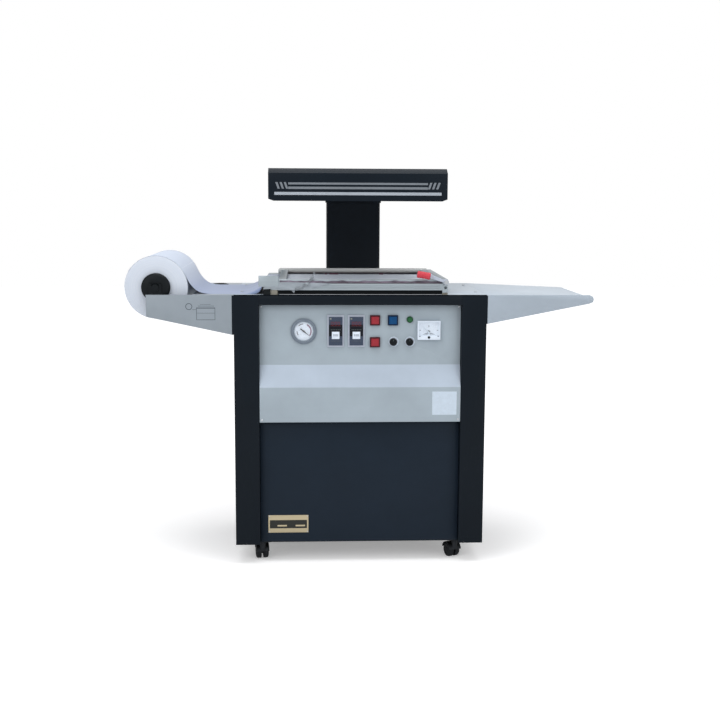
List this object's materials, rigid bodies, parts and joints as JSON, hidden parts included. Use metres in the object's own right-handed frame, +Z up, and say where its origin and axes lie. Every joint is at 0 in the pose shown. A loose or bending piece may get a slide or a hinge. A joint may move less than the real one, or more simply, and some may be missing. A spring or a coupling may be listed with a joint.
{
  "type": "skin packaging machine",
  "caption": "Cabinet on casters with a vacuum platform, hinged film frame on lifting rods, film roll, side tables and a heater hood on a rear column.",
  "frame": {"origin": "centre of the bounding box's footprint, on the floor", "axes": "+X to the right seen from the control panel's side, +Y to the rear, +Z up"},
  "size_m": [1.6131, 0.7207, 1.3815],
  "materials": {
    "navy_enamel": "gloss",
    "grey_enamel": "satin",
    "tray_enamel": "satin",
    "plated_steel": "satin",
    "dark_steel": "satin",
    "frame_aluminium": "satin",
    "reflector": "polished",
    "heater_sheath": "satin",
    "black_rubber": "matt",
    "seal_rubber": "matt",
    "pad_rubber": "matt",
    "tyre_rubber": "matt",
    "black_plastic": "satin",
    "film": "satin",
    "cast_iron": "painted",
    "motor_enamel": "satin",
    "pale_plastic": "satin",
    "timer_plastic": "satin",
    "red_plastic": "gloss",
    "blue_plastic": "gloss",
    "green_lens": "gloss",
    "clear_window": "clear",
    "bronze": "satin"
  },
  "bodies": {
    "cabinet": {"cabinet_frame": "dark_steel", "side_panel_left": "navy_enamel", "side_panel_right": "navy_enamel", "front_top_rail": "navy_enamel", "table_top": "tray_enamel", "rear_panel": "navy_enamel", "lower_front_panel": "navy_enamel", "control_panel": "grey_enamel", "film_table": "tray_enamel", "exit_tray": "tray_enamel", "column": "navy_enamel", "hood_shell": "navy_enamel", "heat_reflector": "reflector", "heater_tubes": "heater_sheath", "roll_holders": "black_plastic", "film_web": "film", "vacuum_box": "plated_steel", "perforated_plate": "frame_aluminium", "platform_seal": "black_rubber", "vacuum_pipe": "plated_steel", "vacuum_pump": "cast_iron", "pump_motor": "motor_enamel", "electrical_plate": "plated_steel", "rod_bushings": "bronze", "rest_pads": "pad_rubber", "frame_switch": "black_plastic", "vacuum_gauge": "pale_plastic", "instrument_windows": "clear_window", "timers": "timer_plastic", "button_frames": "pale_plastic", "pilot_lamp": "green_lens", "potentiometers": "pale_plastic", "panel_meter": "pale_plastic", "caster_mounts": "plated_steel"},
    "film_carriage": {"lower_frame": "frame_aluminium", "film_sheet": "film", "guide_rods": "plated_steel", "lift_yoke": "dark_steel", "film_guide_plate": "frame_aluminium", "pivot_pins": "plated_steel"},
    "clamp": {"clamp_frame": "frame_aluminium", "film_gasket": "seal_rubber"},
    "lever": {"cam_lever": "plated_steel", "lever_grip": "red_plastic"},
    "roll": {"film_roll": "film", "roll_shaft": "plated_steel", "roll_plugs": "black_plastic"},
    "button_red_upper": {"red_button_upper": "red_plastic"},
    "button_red_lower": {"red_button_lower": "red_plastic"},
    "button_blue": {"blue_button": "blue_plastic"},
    "knob_left_body": {"knob_left": "black_plastic"},
    "knob_right_body": {"knob_right": "black_plastic"},
    "gauge_hand": {"gauge_pointer": "black_plastic"},
    "meter_hand": {"meter_pointer": "black_plastic"},
    "fork_front_left": {"caster_fork_front_left": "plated_steel"},
    "fork_front_right": {"caster_fork_front_right": "plated_steel"},
    "wheel_front_left": {"caster_wheel_front_left": "tyre_rubber"},
    "wheel_front_right": {"caster_wheel_front_right": "tyre_rubber"},
    "wheel_rear_left": {"caster_wheel_rear_left": "tyre_rubber"},
    "wheel_rear_right": {"caster_wheel_rear_right": "tyre_rubber"}
  },
  "joints": [
    {"name": "frame_lift", "type": "slide", "parent": "cabinet", "child": "film_carriage", "axis": [0, 0, 1], "range_m": [0, 0.24], "deforming": ["film_web"]},
    {"name": "clamp_hinge", "type": "hinge", "parent": "film_carriage", "child": "clamp", "pos_m": [0, 0.21135, 1], "axis": [1, 0, 0], "range_deg": [-25, 0]},
    {"name": "lever_turn", "type": "hinge", "parent": "film_carriage", "child": "lever", "pos_m": [0.291, -0.33765, 0.998], "axis": [0, 1, 0], "range_deg": [0, 100]},
    {"name": "roll_spin", "type": "hinge", "parent": "cabinet", "child": "roll", "pos_m": [-0.699, -0.08765, 0.976], "axis": [0, 1, 0], "continuous": true},
    {"name": "press_red_upper", "type": "slide", "parent": "cabinet", "child": "button_red_upper", "axis": [0, 1, 0], "range_m": [0, 0.003], "stiffness_N_per_m": 300},
    {"name": "press_red_lower", "type": "slide", "parent": "cabinet", "child": "button_red_lower", "axis": [0, 1, 0], "range_m": [0, 0.003], "stiffness_N_per_m": 300},
    {"name": "press_blue", "type": "slide", "parent": "cabinet", "child": "button_blue", "axis": [0, 1, 0], "range_m": [0, 0.003], "stiffness_N_per_m": 300},
    {"name": "turn_knob_left", "type": "hinge", "parent": "cabinet", "child": "knob_left_body", "pos_m": [0.1143, -0.30165, 0.7873], "axis": [0, 1, 0], "range_deg": [-135, 135]},
    {"name": "turn_knob_right", "type": "hinge", "parent": "cabinet", "child": "knob_right_body", "pos_m": [0.1708, -0.30165, 0.7873], "axis": [0, 1, 0], "range_deg": [-135, 135]},
    {"name": "gauge_swing", "type": "hinge", "parent": "cabinet", "child": "gauge_hand", "pos_m": [-0.196, -0.30165, 0.825], "axis": [0, -1, 0], "range_deg": [0, 250], "stiffness_Nm_per_rad": 0.002},
    {"name": "meter_swing", "type": "hinge", "parent": "cabinet", "child": "meter_hand", "pos_m": [0.2375, -0.30165, 0.8204], "axis": [0, 1, 0], "range_deg": [0, 90], "stiffness_Nm_per_rad": 0.002},
    {"name": "swivel_front_left", "type": "hinge", "parent": "cabinet", "child": "fork_front_left", "pos_m": [-0.344, -0.26765, 0.065], "axis": [0, 0, 1], "continuous": true},
    {"name": "swivel_front_right", "type": "hinge", "parent": "cabinet", "child": "fork_front_right", "pos_m": [0.344, -0.26765, 0.065], "axis": [0, 0, 1], "continuous": true},
    {"name": "spin_front_left", "type": "hinge", "parent": "fork_front_left", "child": "wheel_front_left", "pos_m": [-0.34713, -0.2479, 0.025], "axis": [0.9877, 0.1564, 0], "continuous": true},
    {"name": "spin_front_right", "type": "hinge", "parent": "fork_front_right", "child": "wheel_front_right", "pos_m": [0.33651, -0.24911, 0.025], "axis": [0.9272, 0.3746, 0], "continuous": true},
    {"name": "spin_rear_left", "type": "hinge", "parent": "cabinet", "child": "wheel_rear_left", "pos_m": [-0.344, 0.17435, 0.025], "axis": [1, 0, 0], "continuous": true},
    {"name": "spin_rear_right", "type": "hinge", "parent": "cabinet", "child": "wheel_rear_right", "pos_m": [0.344, 0.17435, 0.025], "axis": [1, 0, 0], "continuous": true}
  ]
}
